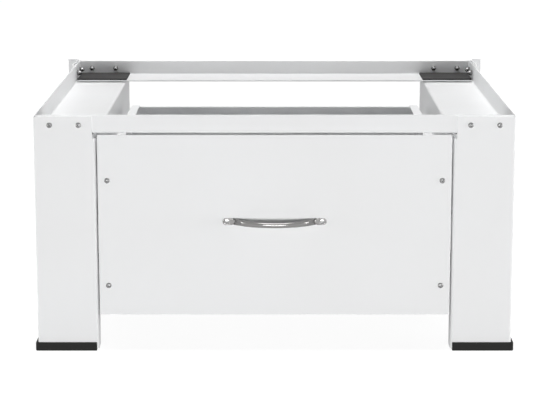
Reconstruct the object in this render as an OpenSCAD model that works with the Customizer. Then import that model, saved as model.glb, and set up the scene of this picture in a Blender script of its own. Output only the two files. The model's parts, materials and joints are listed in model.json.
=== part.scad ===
// Washer pedestal with a pull-out drawer.
// Folded sheet-steel frame on four legs, an open tray on top for the machine's feet,
// and a drawer on two three-member ball bearing slides.
// +Z is up, the drawer opens towards -Y, left is -X. Z = 0 is the floor, and the origin
// lies under the middle of the whole object's box, handle included.

/* [Body] */
// Width over the legs
body_w = 606; // [560:1:680]
// Depth over the legs
body_d = 540; // [500:1:640]
// Height of the rim that stands round the tray
body_h = 305.5; // [270:0.5:400]
// Thickness of the frame's sheet steel
sheet = 1.5; // [1.0:0.1:2.0]
// Outer radius of the frame's bends
bend_r = 3; // [2.5:0.5:4]

/* [Legs] */
// Width of a leg's front face
leg_w = 78; // [70:1:90]
// Depth of a leg's side face
leg_d = 65; // [60:1:80]
// Depth of the return lip along the drawer opening
leg_lip = 24; // [20:1:32]
// Outer radius of the bend between the front face and the return lip
lip_bend_r = 4; // [3:0.5:5]
// Drop of the leg's top edge below the rim
leg_top_drop = 2; // [1:0.5:4]
// Depth of the relief at the leg's upper inner corner, below the shelf
corner_relief = 5; // [3:0.5:8]

/* [Tray] */
// Depth of the tray, from the rim down to the shelf
tray_depth = 25; // [20:1:35]
// Height of the lip that hangs down from a shelf's inner edge
rail_lip = 51.9; // [40:0.1:60]
// Depth of a beam's ledge over the shelves
ledge_d = 75; // [60:1:90]
// Gap between a beam's ledge and the shelves
ledge_gap = 1.5; // [1:0.1:2]
// Gap between the rear beam's end and the side rail
beam_gap = 1.5; // [0.8:0.1:3]
// Gap between the front beam's end and the side rail
front_beam_gap = 0.8; // [0.8:0.1:3]
// Drop of the rear beam's top edge below the rim
rear_beam_drop = 2; // [0:0.5:4]
// Radius of the rear beam's top corners
beam_corner_r = 3; // [2:0.5:5]

/* [Pads and shoes] */
// Width of a rubber pad under the machine
pad_w = 74.4; // [60:0.2:76]
// Depth of a rubber pad
pad_d = 68.5; // [56:0.5:71]
// Thickness of a rubber pad
pad_t = 2.5; // [2:0.5:4]
// Gap between a pad and the beam's end
pad_gap = 0.5; // [0:0.5:3]
// Radius of a pad's corners
pad_r = 2; // [1:0.5:4]
// Height of a rubber shoe
shoe_h = 10.8; // [8:0.2:16]
// Thickness of the shoe's walls
shoe_wall = 3; // [2:0.5:4]
// Thickness of the rubber under the leg
shoe_floor = 2; // [1.5:0.5:4]
// Distance that the shoe stays back from the leg's inner edge
shoe_inset = 2.5; // [2:0.5:4]
// Width of the corner that is cut off the sole behind the leg's return lip
sole_cut = 12; // [8:1:30]

/* [Wall brackets] */
// Reach of the ear beyond the leg
ear_reach = 16; // [14:0.5:24]
// Height of the bracket
ear_h = 21.5; // [18:0.5:23]
// Height of the bracket's top edge above the rim
ear_rise = 0.8; // [0:0.1:2]
// Diameter of the hole for the wall screw
ear_hole_d = 6.3; // [4.5:0.1:7]
// Distance of that hole from the leg's side face
ear_hole_out = 7; // [6.5:0.5:11]
// Distance of that hole below the bracket's top edge
ear_hole_drop = 9.8; // [8:0.2:12]

/* [Frame screws] */
// Diameter of the screws
screw_d = 4; // [3.5:0.5:5]
// Diameter of a screw's pan head
head_d = 7; // [6:0.5:8]
// Height of a screw's pan head
head_h = 2.2; // [2:0.1:2.8]
// Clearance of the screws in the sheets' holes, on the diameter
hole_play = 0.4; // [0.2:0.1:0.8]
// Width of a nut across its flats
nut_w = 7; // [7:0.5:8]
// Height of a nut's hexagon
nut_h = 3.2; // [2.5:0.1:4]
// Distance of the outer screw from the leg's corner
screw_in = 20.6; // [16:0.2:24]
// Distance between a leg's two screws
screw_pitch = 36.4; // [30:0.2:38]
// Distance of the screws below the rim
screw_drop = 13; // [12:0.5:14.5]

/* [Drawer] */
// Gap between the drawer front and each leg
side_gap = 1.5; // [1:0.1:3]
// Gap between the drawer front's top edge and the front beam
top_gap = 2; // [1.6:0.1:4]
// Height of the drawer front's bottom edge above the floor
front_base = 47.5; // [30:0.5:80]
// Depth of the drawer front's side and bottom returns
front_return = 8; // [6:0.5:9]
// Thickness of the drawer box's sheet steel
box_sheet = 1.2; // [0.8:0.1:1.4]
// Depth of the drawer's side walls
box_d = 407.3; // [405:0.1:420]
// Drop of the box's rim below the drawer front's top edge
rim_drop = 25.5; // [20:0.1:40]
// Height of the box's underside above the drawer front's bottom edge
box_lift = 5.5; // [4:0.5:12]
// Width of the rim folded inwards round the box
rim_w = 12.8; // [10:0.2:16]
// Distance of the rear wall from the side walls' rear end
rear_inset = 9; // [8:0.5:14]
// Distance of the drawer front's screws from the middle
front_screw_x = 211.3; // [206:0.1:213]
// Distance of those screws from the box's rim and from its underside
front_screw_in = 32.7; // [24:0.1:44]

/* [Handle] */
// Length over the handle's end plates
handle_l = 131.5; // [110:0.5:170]
// Reach of the handle in front of the drawer
handle_reach = 28; // [24:1:36]
// Height of the handle's axis above the floor
handle_z = 169.3; // [140:0.1:190]
// Length of an end plate
plate_l = 15; // [13:0.5:18]
// Height of the handle
handle_h = 8.5; // [7:0.5:10]
// Thickness of an end plate
plate_t = 3; // [2.5:0.5:4]
// Thickness of the bow, front to back
bow_t = 6; // [5:0.5:7]
// Distance between the handle's two screws
handle_pitch = 120.6; // [96:0.2:160]

/* [Slides] */
// Length of the slides
slide_l = 400; // [360:5:405]
// Height of a slide
slide_h = 45; // [44:0.5:46]
// Thickness of a slide, from the carrier to the drawer
slide_t = 12.7; // [12.4:0.1:13]
// Height of the slides' middle line above the floor
slide_z = 150; // [130:1:170]
// Distance of the slides behind the drawer front's face
slide_setback = 10; // [10:0.5:12]
// Travel of the drawer
drawer_travel = 380; // [250:5:390]
// Thickness of the outer member's steel
outer_t = 1.2; // [1.0:0.1:1.2]
// Thickness of the middle and inner members' steel
member_t = 1; // [0.9:0.1:1.0]
// Diameter of the balls between the outer and the middle member
big_ball_d = 3.8; // [3.6:0.1:3.8]
// Diameter of the balls between the middle and the inner member
small_ball_d = 2.8; // [2.6:0.1:2.8]
// Clearance of a ball in its grooves
ball_play = 0.15; // [0.12:0.01:0.2]
// Balls in each row of a cage
balls_per_row = 6; // [4:1:10]
// Height of the carrier behind a slide
carrier_h = 66; // [60:1:76]
// Depth of the carrier's stiffening flanges
carrier_flange = 12; // [8:1:16]

/* [Hidden] */
$fn = 48;

// Signs of the two sides and of the two ends
LEFT = -1;
RIGHT = 1;
FRONT = -1;
REAR = 1;
// Overshoot of the cutting solids
cut = 1;

// Frame planes: the legs' front faces, the outer side faces and the opening's sides
y_front = (handle_reach - body_d - shoe_wall) / 2;
y_mid = y_front + body_d / 2;
x_out = body_w / 2;
x_open = x_out - leg_w;
leg_top = body_h - leg_top_drop;
shelf_z = body_h - tray_depth;
rail_lip_z = shelf_z - rail_lip;
// The leg's return lip and its bend end here, and the rail's inner bend ends at the lip
notch_z = shelf_z - corner_relief;
// Gap between the rail's or the carrier's lip and the leg's lip, end to end
seam = 0.5;
rail_x = x_out - sheet;
beam_half = rail_x - sheet - beam_gap;
front_beam_half = rail_x - sheet - front_beam_gap;
beam_y = y_front + sheet;
ledge_z = shelf_z + ledge_gap;
pad_y = beam_y + bend_r;
pad_z = ledge_z + sheet;

// Wall brackets
ear_top = body_h + ear_rise;

// Frame screws and cap nuts: play in the thread, the nut's dome and how deep it is bored
screw_z = body_h - screw_drop;
thread_play = 0.05;
dome_r = nut_w / 2 - 0.3;
dome_neck = 1;
dome_bore = 2.5;
// Length of a screw past its nut's hexagon, in a cap nut and in a plain nut
screw_tip = 2;
nut_tip = 1.5;
// Cross recess, and the radius of the sphere that domes a pan head
recess_l = 3.6;
recess_w = 0.9;
recess_t = 1.1;
pan_r = 5.2;
// Rivets
rivet_d = 4;
rivet_head_d = 7;
rivet_top_d = 5;
rivet_head_h = 0.8;
// Countersunk screws and their slot
flush_d = 4;
flush_head_d = 6.4;
flush_play = 0.1;
slot_l = 2.8;
slot_w = 0.6;
slot_t = 0.6;

// Drawer
front_half = x_open - side_gap;
front_top = ledge_z - top_gap;
rim_z = front_top - rim_drop;
box_z = front_base + box_lift;
side_x = x_open - slide_t;
wall_x = side_x - box_sheet;
inner_y = y_front + sheet;
box_y = inner_y + box_sheet;
box_end = box_y + box_d;
rear_y = box_end - rear_inset;
box_bend_r = box_sheet + 0.8;
rim_half = side_x - rim_w;
// Gap between the rims that meet at the box's corners
rim_seam = 0.5;
// Gap between the inner front and the drawer front's side returns
skin_gap = 1.5;
inner_front_half = front_half - sheet - skin_gap;
skin_bend_r = sheet + 1;
// The floor and the rear wall stay clear of the side walls' inner bends
floor_half = wall_x - 1;
front_screw_zs = [box_z + front_screw_in, rim_z - front_screw_in];
// Notches in the side walls that leave room for the nuts
notch_h = nut_w + 6;
notch_d = nut_h + 5;
// Rivet positions along and up the box
rear_rivet_zs = [box_z + 25, rim_z - 25];
rear_return = rear_inset - box_sheet - 0.2;
floor_rivet_ys = [box_y + 60, box_y + box_d / 2, rear_y - 60];

// Slides: u runs from the carrier towards the drawer, v up from the slide's middle line
slide_y = y_front + slide_setback;
slide_play = 0.2;
cage_t = 0.4;
strip_t = 0.8;
groove = 0.25;
big_r = big_ball_d / 2;
small_r = small_ball_d / 2;
outer_flange_v = slide_h / 2 - outer_t;
big_v = outer_flange_v + groove - big_r - ball_play;
middle_v = big_v - big_r - ball_play + groove;
small_v = middle_v - member_t + groove - small_r - ball_play;
inner_v = small_v - small_r - ball_play + groove;
outer_cage_u = outer_t + slide_play;
middle_u = outer_cage_u + cage_t + slide_play;
inner_cage_u = middle_u + member_t + slide_play;
outer_reach = slide_t - 1;
outer_hook = 1;
middle_reach = outer_reach - 0.4;
inner_flange_u = inner_cage_u + cage_t + 1;
big_u = middle_u + member_t + 3.3;
small_u = big_u + 1.5;
big_strip_end = big_u + big_r + 1;
small_strip_end = slide_t - member_t - 0.8;
cage_margin = 10;
cage_l = slide_l - drawer_travel / 2 - 2 * cage_margin;
cage_y = slide_y + (slide_l - cage_l) / 2;
ball_edge = 8;
ball_pitch = (cage_l - 2 * ball_edge) / (balls_per_row - 1);
// Clearance of a ball in its cage
cage_play = 0.1;
// Length of a runner screw inside the drawer
runner_tip = 1.5;
slide_screw_ys = [slide_y + 6, slide_y + slide_l / 2, slide_y + slide_l - 20];
runner_screw_ys = [slide_y + 30, slide_y + slide_l / 2, slide_y + slide_l - 30];

// Carrier: length of a tab behind the leg's lip, its overlap with the web, and the rivets
carrier_tab = leg_lip - lip_bend_r - 2;
tab_overlap = 6;
carrier_rivet_v = carrier_h / 2 - 5;
carrier_rivet_y = leg_lip - 8;

// Handle
plate_x = (handle_l - plate_l) / 2;
bow_half = handle_l / 2 - plate_l - 0.5;
bow_rise = handle_reach - bow_t / 2 - plate_t / 2;
bow_r = (pow(bow_half, 2) + pow(bow_rise, 2)) / (2 * bow_rise);
bow_angle = asin(bow_half / bow_r);
handle_cone = 1.6;

// ---- Helpers ----

// Extrudes an X-Z outline along Y
module along_y(y, length) {
    translate([0, y + length, 0]) rotate([90, 0, 0]) linear_extrude(length) children();
}

// Extrudes a Y-Z outline along X
module along_x(x, length) {
    translate([x, 0, 0]) rotate([90, 0, 90]) linear_extrude(length) children();
}

// A box between two opposite corners
module block(low, high) {
    translate(low) cube(high - low);
}

// A rectangle between two opposite corners
module rect(low, high) {
    translate(low) square(high - low);
}

// A quarter ring of bent sheet round its centre, in the quadrant that sx and sy point to
module bend(outer_r, t, sx, sy) {
    intersection() {
        difference() {
            circle(r = outer_r);
            circle(r = outer_r - t);
        }
        translate([sx < 0 ? -outer_r : 0, sy < 0 ? -outer_r : 0]) square(outer_r);
    }
}

// What is cut off to round a corner that points towards sx and sy
module round_off(corner, r, sx, sy) {
    difference() {
        translate([corner.x - (sx > 0 ? r : cut), corner.y - (sy > 0 ? r : cut)]) square(r + cut);
        translate([corner.x - sx * r, corner.y - sy * r]) circle(r = r);
    }
}

// Puts what is modelled at the front right corner at the corner that side and end name
module at_corner(side, end) {
    on_side(side)
        translate([0, end == REAR ? 2 * y_mid : 0, 0])
            mirror([0, end == REAR ? 1 : 0, 0])
                children();
}

// Puts what is modelled on the right side on the side that is named
module on_side(side) {
    mirror([side == LEFT ? 1 : 0, 0, 0]) children();
}

// Turns a screw so that its head looks along -Y, +X or -X
module head_forward() {
    rotate([90, 0, 0]) children();
}

module head_outward() {
    rotate([0, 90, 0]) children();
}

module head_inward() {
    rotate([0, -90, 0]) children();
}

// The two screw places on the front right leg's front face
module leg_front_places(y) {
    for (x = [x_out - screw_in, x_out - screw_in - screw_pitch])
        translate([x, y, screw_z]) head_forward() children();
}

// The two screw places on the front right leg's side face
module leg_side_places(x) {
    for (y = [screw_in, screw_in + screw_pitch])
        translate([x, y_front + y, screw_z]) head_outward() children();
}

// The two rivet places on the front right leg's return lip
module carrier_rivet_places() {
    for (v = [-carrier_rivet_v, carrier_rivet_v])
        translate([x_open, y_front + carrier_rivet_y, slide_z + v]) head_inward() children();
}

// The slide's screws on the right side, at the depth u
module slide_screw_places(u) {
    for (y = slide_screw_ys)
        translate([x_open - u, y, slide_z]) head_inward() children();
}

// The screws between the right slide's inner member and the drawer, at the depth u
module runner_screw_places(u) {
    for (y = runner_screw_ys)
        translate([x_open - u, y, slide_z]) head_outward() children();
}

// The four screws of the drawer front
module drawer_screw_places(y) {
    for (side = [LEFT, RIGHT], z = front_screw_zs)
        translate([side * front_screw_x, y, z]) head_forward() children();
}

// The two screws of the handle
module handle_screw_places(y) {
    for (side = [LEFT, RIGHT])
        translate([side * handle_pitch / 2, y, handle_z]) head_forward() children();
}

// The rivets between the drawer's right side wall and its rear wall
module rear_rivet_places() {
    for (z = rear_rivet_zs)
        translate([side_x, rear_y + rear_return / 2, z]) head_outward() children();
}

// The rivets between the drawer's bottom and its right side wall
module floor_rivet_places() {
    for (y = floor_rivet_ys)
        translate([side_x - rim_w / 2, y, box_z + 2 * box_sheet]) children();
}

// ---- Fasteners: each has its head above Z = 0 ----

// Straight hole for a screw of the given diameter, right through what is near
module hole(d, play) {
    cylinder(d = d + play, h = 12 * sheet, center = true);
}

// Cross in a pan head whose top is at the given height
module cross_recess(top) {
    for (a = [0, 90])
        rotate([0, 0, a])
            translate([-recess_l / 2, -recess_w / 2, top - recess_t])
                cube([recess_l, recess_w, recess_t + cut]);
}

// Pan head screw with a cross recess
module pan_screw(length) {
    color("gainsboro") union() {
        difference() {
            intersection() {
                cylinder(d = head_d, h = head_h);
                translate([0, 0, head_h - pan_r]) sphere(r = pan_r);
            }
            cross_recess(head_h);
        }
        translate([0, 0, -length]) cylinder(d = screw_d, h = length);
    }
}

// Bore of a nut, of the given depth
module thread_bore(depth) {
    translate([0, 0, -depth]) cylinder(r = screw_d / 2 + thread_play, h = depth + cut);
}

// Cap nut that hangs below Z = 0
module cap_nut() {
    color("silver") difference() {
        union() {
            translate([0, 0, -nut_h]) cylinder(r = nut_w / 2 / cos(30), h = nut_h, $fn = 6);
            translate([0, 0, -nut_h - dome_neck]) cylinder(r = dome_r, h = dome_neck);
            intersection() {
                translate([0, 0, -nut_h - dome_neck]) sphere(r = dome_r);
                translate([0, 0, -nut_h - dome_neck - dome_r]) cylinder(r = dome_r + cut, h = dome_r);
            }
        }
        thread_bore(nut_h + dome_bore);
    }
}

// Plain hexagon nut that hangs below Z = 0
module hex_nut() {
    color("silver") difference() {
        translate([0, 0, -nut_h]) cylinder(r = nut_w / 2 / cos(30), h = nut_h, $fn = 6);
        thread_bore(nut_h + cut);
    }
}

// Countersunk screw whose head ends flush at Z = 0, with a cone of the given depth
module flush_screw(cone, length) {
    color("silver") difference() {
        union() {
            translate([0, 0, -cone]) cylinder(d1 = flush_d, d2 = flush_head_d, h = cone);
            translate([0, 0, -length]) cylinder(d = flush_d, h = length - cone);
        }
        translate([-slot_l / 2, -slot_w / 2, -slot_t]) cube([slot_l, slot_w, slot_t + cut]);
    }
}

// Countersunk hole for that screw
module flush_hole(cone) {
    translate([0, 0, -cone])
        cylinder(d1 = flush_d + flush_play, d2 = flush_head_d + flush_play, h = cone);
    hole(flush_d, flush_play);
}

// Rivet through a stack of the given thickness below Z = 0
module rivet(grip) {
    color("silver") union() {
        translate([0, 0, -grip]) cylinder(d = rivet_d, h = grip);
        cylinder(d1 = rivet_head_d, d2 = rivet_top_d, h = rivet_head_h);
        translate([0, 0, -grip - rivet_head_h])
            cylinder(d1 = rivet_top_d, d2 = rivet_head_d, h = rivet_head_h);
    }
}

// ---- Frame ----

// Plan of the front right leg: front face, side face and return lip
module leg_plan() {
    rect([x_open + lip_bend_r, y_front], [x_out - bend_r, y_front + sheet]);
    translate([x_out - bend_r, y_front + bend_r]) bend(bend_r, sheet, 1, -1);
    rect([x_out - sheet, y_front + bend_r], [x_out, y_front + leg_d]);
    translate([x_open + lip_bend_r, y_front + lip_bend_r]) bend(lip_bend_r, sheet, -1, -1);
    rect([x_open, y_front + lip_bend_r], [x_open + sheet, y_front + leg_lip]);
}

// Leg: above the notch only the front and side faces go on, up to the rim
module leg(side, end) {
    color("whitesmoke") at_corner(side, end) difference() {
        union() {
            translate([0, 0, shoe_floor]) linear_extrude(notch_z - shoe_floor) leg_plan();
            translate([0, 0, notch_z]) linear_extrude(leg_top - notch_z) intersection() {
                leg_plan();
                rect([x_open + lip_bend_r, y_front], [x_out, y_front + leg_d]);
            }
        }
        leg_front_places(y_front) hole(screw_d, hole_play);
        leg_side_places(x_out) hole(screw_d, hole_play);
        carrier_rivet_places() hole(rivet_d, flush_play);
        if (end == FRONT)
            translate([x_open, slide_screw_ys[0], slide_z]) head_inward() hole(flush_d, flush_play);
    }
}

// Section of the right side rail: rim wall, shelf and lip
module rail_section() {
    rect([rail_x - sheet, shelf_z - sheet + bend_r], [rail_x, body_h]);
    translate([rail_x - bend_r, shelf_z - sheet + bend_r]) bend(bend_r, sheet, 1, -1);
    rect([x_open + bend_r, shelf_z - sheet], [rail_x - bend_r, shelf_z]);
    translate([x_open + bend_r, shelf_z - bend_r]) bend(bend_r, sheet, -1, 1);
    rect([x_open, rail_lip_z], [x_open + sheet, shelf_z - bend_r]);
}

// Side rail: it ends at the legs' corner bends, and its lip and inner bend stop short of their return lips
module side_rail(side) {
    color("whitesmoke") on_side(side) difference() {
        along_y(y_front + bend_r, body_d - 2 * bend_r) rail_section();
        for (end = [FRONT, REAR]) at_corner(RIGHT, end) {
            block([x_open - cut, y_front, rail_lip_z - cut],
                  [x_open + bend_r, y_front + leg_lip + seam, shelf_z + cut]);
            leg_side_places(x_out) hole(screw_d, hole_play);
        }
    }
}

// Section of the front beam: upright behind the legs' faces and ledge over the shelves
module beam_section(top) {
    rect([beam_y, ledge_z + bend_r], [beam_y + sheet, top]);
    translate([beam_y + bend_r, ledge_z + bend_r]) bend(bend_r, sheet, -1, -1);
    rect([beam_y + bend_r, ledge_z], [beam_y + ledge_d, ledge_z + sheet]);
}

module beam_corners(top) {
    for (side = [LEFT, RIGHT])
        along_y(y_front, 3 * sheet) round_off([side * beam_half, top], beam_corner_r, side, 1);
}

module beam(end) {
    top = end == REAR ? body_h - rear_beam_drop : body_h;
    half = end == REAR ? beam_half : front_beam_half;
    color("whitesmoke") at_corner(RIGHT, end) difference() {
        along_x(-half, 2 * half) beam_section(top);
        for (side = [LEFT, RIGHT]) on_side(side) leg_front_places(y_front) hole(screw_d, hole_play);
        if (end == REAR) beam_corners(top);
    }
}

// Pad on a beam's ledge
module pad(side, end) {
    x_high = beam_half - pad_gap;
    x_low = x_high - pad_w;
    y_high = pad_y + pad_d;
    color("#2f3030") at_corner(side, end) translate([0, 0, pad_z]) linear_extrude(pad_t) difference() {
        rect([x_low, pad_y], [x_high, y_high]);
        round_off([x_low, pad_y], pad_r, -1, -1);
        round_off([x_high, pad_y], pad_r, 1, -1);
        round_off([x_low, y_high], pad_r, -1, 1);
        round_off([x_high, y_high], pad_r, 1, 1);
    }
}

// Channel that grips the lower edge of the leg's front and side faces
module shoe_channel() {
    grip = sheet + shoe_wall;
    difference() {
        union() {
            rect([x_open + shoe_inset, y_front - shoe_wall], [x_out + shoe_wall, y_front + grip]);
            rect([x_out - grip, y_front - shoe_wall], [x_out + shoe_wall, y_front + leg_d + shoe_wall]);
        }
        rect([x_open, y_front], [x_out, y_front + sheet]);
        rect([x_out - sheet, y_front], [x_out, y_front + leg_d]);
        leg_plan();
    }
}

// What is cut off the sole's inner corner, behind the leg's return lip, so that it stays out of sight
module sole_corner(x, y) {
    polygon([[x, y_front + leg_lip], [x + sole_cut, y], [x + sole_cut, y + cut],
             [x - cut, y + cut], [x - cut, y_front + leg_lip]]);
}

module shoe(side, end) {
    corner = [x_out + shoe_wall, y_front - shoe_wall];
    inner = [x_open + shoe_inset, y_front + leg_d + shoe_wall];
    color("#262626") at_corner(side, end) union() {
        linear_extrude(shoe_floor) difference() {
            rect([inner.x, corner.y], [corner.x, inner.y]);
            round_off(corner, bend_r, 1, -1);
            sole_corner(inner.x, inner.y);
        }
        translate([0, 0, shoe_floor]) linear_extrude(shoe_h - shoe_floor) difference() {
            shoe_channel();
            round_off(corner, bend_r, 1, -1);
        }
    }
}

// Plan of a wall bracket: plate on the leg's side face and ear along the wall
module bracket_plan() {
    rect([x_out, y_front + bend_r], [x_out + sheet, y_front + leg_d]);
    translate([x_out + bend_r, y_front + bend_r]) bend(bend_r, sheet, -1, -1);
    rect([x_out + bend_r, y_front], [x_out + ear_reach, y_front + sheet]);
}

module wall_bracket(side) {
    color("whitesmoke") at_corner(side, REAR) difference() {
        translate([0, 0, ear_top - ear_h]) linear_extrude(ear_h) bracket_plan();
        leg_side_places(x_out) hole(screw_d, hole_play);
        translate([x_out + ear_hole_out, y_front, ear_top - ear_hole_drop])
            head_forward() hole(ear_hole_d, 0);
    }
}

// Carrier: web in line with the legs' return lips, flanges, and a tab behind each lip
module slide_carrier(side) {
    web_y = y_front + leg_lip + seam;
    low = slide_z - carrier_h / 2;
    high = slide_z + carrier_h / 2;
    color("whitesmoke") on_side(side) difference() {
        union() {
            block([x_open, web_y, low], [x_open + sheet, 2 * y_mid - web_y, high]);
            for (z = [low, high - sheet])
                block([x_open, web_y, z], [x_open + sheet + carrier_flange, 2 * y_mid - web_y, z + sheet]);
            for (end = [FRONT, REAR]) at_corner(RIGHT, end)
                block([x_open + sheet, web_y - seam - carrier_tab, low],
                      [x_open + 2 * sheet, web_y + tab_overlap, high]);
        }
        for (end = [FRONT, REAR]) at_corner(RIGHT, end) carrier_rivet_places() hole(rivet_d, flush_play);
        slide_screw_places(0) hole(flush_d, flush_play);
    }
}

module carrier_rivets() {
    for (side = [LEFT, RIGHT], end = [FRONT, REAR])
        at_corner(side, end) carrier_rivet_places() rivet(2 * sheet);
}

// ---- Frame screws and cap nuts ----

module leg_front_screws(end) {
    for (side = [LEFT, RIGHT])
        at_corner(side, end) leg_front_places(y_front) pan_screw(2 * sheet + nut_h + screw_tip);
}

module leg_front_nuts(end) {
    for (side = [LEFT, RIGHT])
        at_corner(side, end) leg_front_places(y_front + 2 * sheet) cap_nut();
}

// The rear screws also go through the wall bracket
module leg_side_screws(side) {
    at_corner(side, FRONT) leg_side_places(x_out) pan_screw(2 * sheet + nut_h + screw_tip);
    at_corner(side, REAR) leg_side_places(x_out + sheet) pan_screw(3 * sheet + nut_h + screw_tip);
}

module leg_side_nuts(side) {
    for (end = [FRONT, REAR])
        at_corner(side, end) leg_side_places(x_out - 2 * sheet) cap_nut();
}

// ---- Slides ----

// Turns the slide's own axes, u towards the drawer and v up, into place on the named side
module slide_axes(side) {
    on_side(side) translate([x_open, 0, slide_z]) mirror([1, 0, 0]) children();
}

// A rectangle above the slide's middle line, and the same one below it
module rect_pair(low, high) {
    rect(low, high);
    rect([low.x, -high.y], [high.x, -low.y]);
}

// C section with its web at u, flanges to the reach, and their outer faces at v
module channel_section(u, reach, v, t) {
    rect([u, -v], [u + t, v]);
    rect_pair([u, v - t], [reach, v]);
}

// Ball grooves above and below the slide's middle line
module grooves(u, v, r) {
    for (s = [-1, 1]) translate([u, s * v]) circle(r = r + ball_play);
}

// Outer member, on the leg and the carrier
module slide_outer(side) {
    color("silver") difference() {
        slide_axes(side) along_y(slide_y, slide_l) difference() {
            union() {
                channel_section(0, outer_reach, slide_h / 2, outer_t);
                rect_pair([outer_reach - outer_t, outer_flange_v - outer_hook], [outer_reach, slide_h / 2]);
            }
            grooves(big_u, big_v, big_r);
        }
        on_side(side) slide_screw_places(outer_t) flush_hole(outer_t);
    }
}

// Middle member, between the two rows of balls
module slide_middle(side) {
    color("lightgray") slide_axes(side) along_y(slide_y, slide_l) difference() {
        channel_section(middle_u, middle_reach, middle_v, member_t);
        grooves(big_u, big_v, big_r);
        grooves(small_u, small_v, small_r);
    }
}

// Inner member, on the drawer's side wall, open towards the carrier
module slide_inner(side) {
    color("silver") difference() {
        slide_axes(side) along_y(slide_y, slide_l) difference() {
            union() {
                rect([slide_t - member_t, -inner_v], [slide_t, inner_v]);
                rect_pair([inner_flange_u, inner_v - member_t], [slide_t, inner_v]);
            }
            grooves(small_u, small_v, small_r);
        }
        on_side(side) runner_screw_places(slide_t - member_t) flush_hole(member_t);
    }
}

// The ball places of a cage
module ball_places(u, v) {
    for (s = [-1, 1], i = [0 : balls_per_row - 1])
        translate([u, cage_y + ball_edge + i * ball_pitch, s * v]) children();
}

// Cage: two strips with a hole for each ball, joined by a thin web
module cage(side, u, reach, ball_u, ball_v, ball_r) {
    color("darkgray") slide_axes(side) difference() {
        along_y(cage_y, cage_l) union() {
            rect([u, -ball_v], [u + cage_t, ball_v]);
            rect_pair([u, ball_v - strip_t / 2], [reach, ball_v + strip_t / 2]);
        }
        ball_places(ball_u, ball_v) cylinder(r = ball_r + cage_play, h = 3 * strip_t, center = true);
    }
}

module outer_cage(side) {
    cage(side, outer_cage_u, big_strip_end, big_u, big_v, big_r);
}

module inner_cage(side) {
    cage(side, inner_cage_u, small_strip_end, small_u, small_v, small_r);
}

module balls(side, u, v, r) {
    color("gainsboro") slide_axes(side) ball_places(u, v) sphere(r = r);
}

module slide_screws(side) {
    on_side(side) slide_screw_places(outer_t) flush_screw(outer_t, outer_t + 2 * sheet + screw_tip);
}

module runner_screws(side) {
    on_side(side) runner_screw_places(slide_t - member_t)
        flush_screw(member_t, member_t + box_sheet + runner_tip);
}

// ---- Drawer ----

// Outer skin of the drawer's front: flat face, side returns and a bottom return
module drawer_front() {
    color("whitesmoke") difference() {
        union() {
            translate([0, 0, front_base]) linear_extrude(front_top - front_base) {
                rect([-front_half + skin_bend_r, y_front], [front_half - skin_bend_r, y_front + sheet]);
                for (side = [LEFT, RIGHT]) mirror([side == LEFT ? 1 : 0, 0]) {
                    translate([front_half - skin_bend_r, y_front + skin_bend_r])
                        bend(skin_bend_r, sheet, 1, -1);
                    rect([front_half - sheet, y_front + skin_bend_r], [front_half, y_front + front_return]);
                }
            }
            block([-front_half + skin_bend_r, y_front, front_base],
                  [front_half - skin_bend_r, y_front + front_return, front_base + sheet]);
        }
        drawer_screw_places(y_front) hole(screw_d, hole_play);
        handle_screw_places(y_front) hole(screw_d, hole_play);
    }
}

// Inner front that closes the box, with its rim folded back
module drawer_inner_front() {
    middle = rim_half - rim_seam;
    color("whitesmoke") difference() {
        union() {
            block([-inner_front_half, inner_y, box_z], [-middle, box_y, rim_z]);
            block([middle, inner_y, box_z], [inner_front_half, box_y, rim_z]);
            along_x(-middle, 2 * middle) {
                rect([inner_y, box_z], [box_y, rim_z - box_bend_r]);
                translate([inner_y + box_bend_r, rim_z - box_bend_r]) bend(box_bend_r, box_sheet, -1, 1);
                rect([inner_y + box_bend_r, rim_z - box_sheet], [inner_y + rim_w, rim_z]);
            }
        }
        drawer_screw_places(inner_y) hole(screw_d, hole_play);
        handle_screw_places(inner_y) hole(screw_d, hole_play);
    }
}

// Section of the right side wall, with the rim and the bottom flange folded inwards
module side_wall_section() {
    rect([wall_x, box_z + box_bend_r], [side_x, rim_z - box_bend_r]);
    for (s = [-1, 1]) {
        z = s > 0 ? rim_z : box_z;
        translate([side_x - box_bend_r, z - s * box_bend_r]) bend(box_bend_r, box_sheet, 1, s);
        rect([rim_half, s > 0 ? z - box_sheet : z], [side_x - box_bend_r, s > 0 ? z : z + box_sheet]);
    }
}

module drawer_side(side) {
    color("whitesmoke") on_side(side) difference() {
        union() {
            along_y(box_y, box_d) side_wall_section();
            for (y = [box_y, box_end - box_sheet])
                block([rim_half, y, box_z + box_sheet], [wall_x, y + box_sheet, rim_z - box_sheet]);
        }
        for (z = front_screw_zs)
            block([rim_half - cut, box_y - cut, z - notch_h / 2],
                  [side_x + cut, box_y + notch_d, z + notch_h / 2]);
        runner_screw_places(slide_t) hole(flush_d, flush_play);
        rear_rivet_places() hole(rivet_d, flush_play);
        floor_rivet_places() hole(rivet_d, flush_play);
    }
}

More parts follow.
